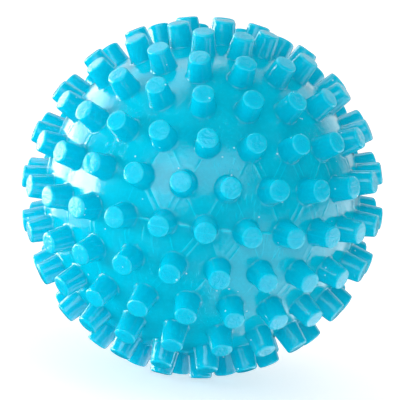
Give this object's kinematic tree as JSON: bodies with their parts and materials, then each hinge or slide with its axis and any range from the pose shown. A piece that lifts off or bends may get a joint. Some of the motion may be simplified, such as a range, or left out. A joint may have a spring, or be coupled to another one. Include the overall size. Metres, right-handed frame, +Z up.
{
  "type": "massage ball",
  "caption": "Hollow moulded massage ball covered in short flat-tipped nubs set in rows, closed at the back by a soft valve seat with a push-in plug.",
  "frame": {"origin": "the ball's centre, where the mould axis crosses the plane of the seam", "axes": "+Z up along the mould axis, through a nub at each pole; the seam lies in the XY plane; -Y is the front, the side that faces the viewer, and the valve is at the back, on +Y"},
  "size_m": [0.09, 0.089, 0.09],
  "materials": {
    "skin_pvc": "glossy translucent soft PVC",
    "seat_pvc": "satin soft PVC, paler than the skin",
    "plug_plastic": "smooth moulded, white"
  },
  "bodies": {
    "ball": {"skin": "skin_pvc", "valve_seat": "seat_pvc"},
    "plug": {"valve_plug": "plug_plastic"}
  },
  "joints": [
    {"name": "valve_plug_slide", "type": "slide", "parent": "ball", "child": "plug", "axis": [0, 1, 0], "range_m": [0, 0.01]}
  ]
}
